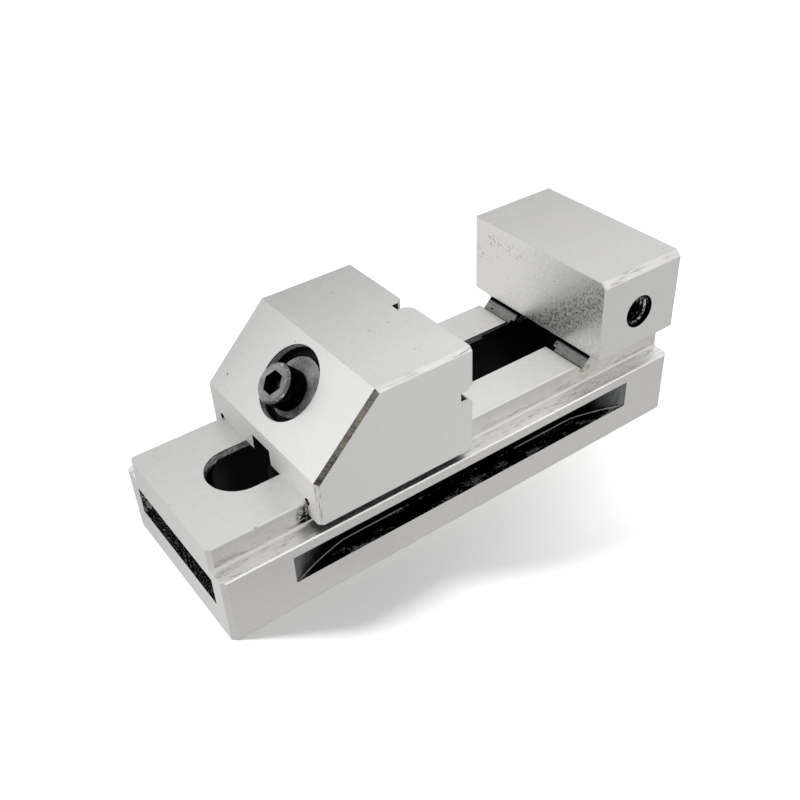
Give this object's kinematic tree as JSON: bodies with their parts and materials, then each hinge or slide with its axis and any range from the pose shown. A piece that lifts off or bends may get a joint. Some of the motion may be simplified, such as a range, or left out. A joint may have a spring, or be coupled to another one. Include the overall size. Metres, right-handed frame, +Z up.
{
  "type": "precision vise",
  "caption": "Low screwless-style precision vise: ground block with fixed jaw, and a wedge-backed sliding jaw pulled down and forward by a slanting socket-head screw.",
  "frame": {"origin": "middle of the underside, so the base stands on Z = 0", "axes": "+X along the vise from its rear end to the fixed jaw, +Y to the left seen from the rear, +Z up"},
  "size_m": [0.175, 0.063, 0.0634],
  "materials": {
    "ground_steel": "hardened and surface ground, fine straight grinding lines",
    "black_oxide_steel": "black oxide, oiled, slightly satin"
  },
  "bodies": {
    "vise_body": {"vise_body": "ground_steel"},
    "moving_jaw": {"moving_jaw": "ground_steel"},
    "ball_washer": {"ball_washer": "black_oxide_steel"},
    "clamp_screw": {"clamp_screw": "black_oxide_steel"},
    "cross_nut": {"cross_nut": "black_oxide_steel"}
  },
  "joints": [
    {"name": "jaw_slide", "type": "slide", "parent": "vise_body", "child": "moving_jaw", "axis": [1, 0, 0], "range_m": [-0.03188, 0.05312]},
    {"name": "screw_tilt", "type": "hinge", "parent": "moving_jaw", "child": "ball_washer", "pos_m": [-0.04988, 0, 0.05659], "axis": [0, 1, 0], "range_deg": [-0.7, 0.7]},
    {"name": "screw_turn", "type": "hinge", "parent": "ball_washer", "child": "clamp_screw", "pos_m": [-0.04505, 0, 0.05177], "axis": [0.7071, 0, -0.7071], "range_deg": [-430, 730]},
    {"name": "nut_travel", "type": "slide", "parent": "ball_washer", "child": "cross_nut", "axis": [-0.7071, 0, 0.7071], "range_m": [-0.0016, 0.0026]}
  ],
  "couplings": [
    {"joint": "nut_travel", "follows": "screw_turn", "m_per_rad": 0.00019894}
  ]
}
